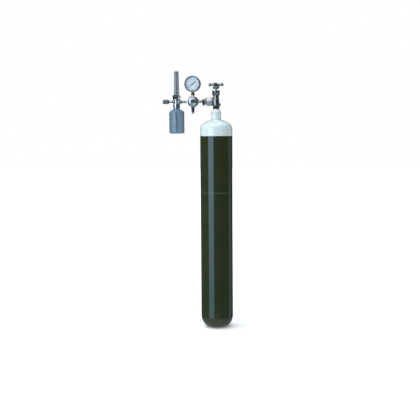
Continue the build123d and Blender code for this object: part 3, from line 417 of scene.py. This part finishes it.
def tube_scale():
    """Level bars and numbers up the front of the metering tube."""
    low, high = TUBE_LOW[2] + 0.012, TUBE_HIGH[2] - 0.008
    mesh = bmesh.new()
    for k in range(TUBE_STEPS + 1):
        z = low + (high - low) * (k / TUBE_STEPS) ** 0.9
        for step in range(8 if k % 2 == 0 else 4):
            flat_bar(mesh, (TUBE_BARS_X + (step + 0.5) * TUBE_BAR, z), (TUBE_BAR * 1.04, 0.0004))
        if k % 4 == 0 and k:
            letters(mesh, str(k // 2), (TUBE_NUMBER_X, z), TUBE_NUMBER_SIZE)
    place = Matrix.Translation(((TUBE_LOW[0] + TUBE_HIGH[0]) / 2, 0.0, 0.0))
    radius = (TUBE_HIGH[0] - TUBE_LOW[0]) / 2 + PRINT_LIFT
    printed("tube_scale", mesh, place, TUBE_INK, "regulator", wrap=radius)


def bottle_marks():
    """Level marks on the front of the bottle, left of its middle."""
    mesh = bmesh.new()
    for z, count in MARKS:
        start = MARKS_X - count * MARK_BAR / 2
        for step in range(count):
            centre = (start + (step + 0.5) * MARK_BAR, BOTTLE_LOW[2] + z)
            flat_bar(mesh, centre, (MARK_BAR * 1.02, 0.0006))
    place = Matrix.Translation(((BOTTLE_LOW[0] + BOTTLE_HIGH[0]) / 2, 0.0, 0.0))
    radius = (BOTTLE_HIGH[0] - BOTTLE_LOW[0]) / 2 + PRINT_LIFT
    printed("bottle_marks", mesh, place, TUBE_INK, "bottle", wrap=radius)


dial_scale()
tube_scale()
bottle_marks()


# ------------------------------------------------------------------ studio

def floor():
    """Pale paper floor. Camera rays see it grow whiter away from the object, to match the background."""
    mesh = bmesh.new()
    bmesh.ops.create_grid(mesh, x_segments=8, y_segments=8, size=14.0)
    data = bpy.data.meshes.new("floor")
    mesh.to_mesh(data)
    mesh.free()
    made, tree, shader = material("floor_paper")
    cloud = ranged(tree, noise(tree, 3.0, 3.0), 0.3, 0.7)
    tone = blend(tree, cloud, rgba((0.93, 0.93, 0.93)), rgba((0.95, 0.95, 0.95)))
    tree.links.new(tone, shader.inputs["Base Color"])
    shader.inputs["Roughness"].default_value = 0.8
    shader.inputs["Specular IOR Level"].default_value = 0.1
    place = add(tree, "ShaderNodeTexCoord").outputs["Object"]
    away = add(tree, "ShaderNodeVectorMath", {"operation": "LENGTH"}, i0=place).outputs["Value"]
    camera_ray = add(tree, "ShaderNodeLightPath").outputs["Is Camera Ray"]
    glow = maths(tree, "MULTIPLY", camera_ray, ranged(tree, away, 0.3, 4.0, 0.20, 0.75))
    shader.inputs["Emission Color"].default_value = (1.0, 1.0, 1.0, 1.0)
    tree.links.new(glow, shader.inputs["Emission Strength"])
    data.materials.append(made)
    piece = bpy.data.objects.new("floor", data)
    scene.collection.objects.link(piece)
    piece.visible_glossy = False


def window(tree, value, low, high, soft):
    """1 between low and high, fading to 0 over a soft margin outside them."""
    rise, fall = ranged(tree, value, low - soft, low), ranged(tree, value, high + soft, high)
    return maths(tree, "MULTIPLY", rise, fall)


def studio_world():
    """A studio with a bright window at the left, a pale ceiling and darker walls; camera rays see white."""
    world = bpy.data.worlds.new("studio")
    scene.world = world
    world.use_nodes = True
    tree = world.node_tree
    tree.nodes.clear()
    axes = add(tree, "ShaderNodeSeparateXYZ", i0=add(tree, "ShaderNodeTexCoord").outputs["Generated"]).outputs
    around = maths(tree, "ARCTAN2", axes[0], maths(tree, "MULTIPLY", axes[1], -1.0))
    azimuth = maths(tree, "MULTIPLY", around, 180 / math.pi)
    up = axes[2]
    dimmed = ranged(tree, up, -0.32, 0.02, 0.4, 1.0)
    glass = maths(tree, "MULTIPLY", window(tree, azimuth, -51.5, -13.8, 1.5), dimmed)
    walls = blend(tree, glass, rgba((0.07, 0.085, 0.09)), rgba((2.15, 2.6, 3.35)))
    walls = blend(tree, window(tree, azimuth, 108.0, 128.0, 8.0), walls, rgba((0.38, 0.41, 0.43)))
    slope = window(tree, azimuth, -112.0, -2.0, 12.0)
    slope = blend(tree, slope, rgba((0.26, 0.29, 0.31)), rgba((1.0, 1.03, 1.05)))
    around_all = blend(tree, ranged(tree, up, 0.27, 0.36), walls, slope)
    around_all = blend(tree, ranged(tree, up, 0.74, 0.84), around_all, rgba((1.15, 1.18, 1.19)))
    around_all = blend(tree, ranged(tree, up, -0.30, -0.42), around_all, rgba((0.42, 0.46, 0.48)))
    camera_ray = add(tree, "ShaderNodeLightPath").outputs["Is Camera Ray"]
    seen = blend(tree, camera_ray, around_all, rgba((1.0, 1.0, 1.0)))
    back = add(tree, "ShaderNodeBackground", Color=seen, Strength=1.0)
    out = tree.nodes.new("ShaderNodeOutputWorld")
    tree.links.new(back.outputs[0], out.inputs[0])


def softbox(name, place, target, size, power):
    """Area light that faces its target and isn't seen itself."""
    light = bpy.data.lights.new(name, "AREA")
    light.shape = "RECTANGLE"
    light.size, light.size_y = size
    light.energy = power
    holder = bpy.data.objects.new(name, light)
    holder.location = place
    holder.rotation_euler = (Vector(target) - Vector(place)).to_track_quat("-Z", "Y").to_euler()
    holder.visible_glossy = False
    holder.visible_camera = False
    scene.collection.objects.link(holder)


floor()
studio_world()
softbox("key", (-2.6, -2.6, 2.4), (-0.05, 0.0, 0.7), (1.6, 2.0), 12.0)
softbox("top", (-1.3, 0.2, 4.0), (-0.3, 0.0, 0.0), (3.6, 4.0), 110.0)


# ------------------------------------------------------------------ camera

AZIMUTH, DISTANCE, HEIGHT = math.radians(8.0), 3.49, 0.870
YAW, PITCH, ROLL = math.radians(0.48), math.radians(-5.76), math.radians(-0.37)
camera_data = bpy.data.cameras.new("camera")
camera_data.sensor_width = 36.0
camera_data.lens = 68.6
camera_data.clip_start = 0.05
camera_data.clip_end = 60.0
camera = bpy.data.objects.new("camera", camera_data)
camera.location = (DISTANCE * math.sin(AZIMUTH), -DISTANCE * math.cos(AZIMUTH), HEIGHT)
look = Matrix.Rotation(AZIMUTH + YAW, 4, "Z") @ Matrix.Rotation(math.pi / 2 + PITCH, 4, "X")
camera.matrix_world = Matrix.Translation(camera.location) @ look @ Matrix.Rotation(ROLL, 4, "Z")
scene.collection.objects.link(camera)
scene.camera = camera
scene.view_settings.view_transform = "Standard"
scene.cycles.transparent_max_bounces = 24     # a ray crosses 8 clear surfaces in the flowmeter
scene.cycles.denoising_input_passes = "RGB"   # the other passes leave grain in the clear plastics
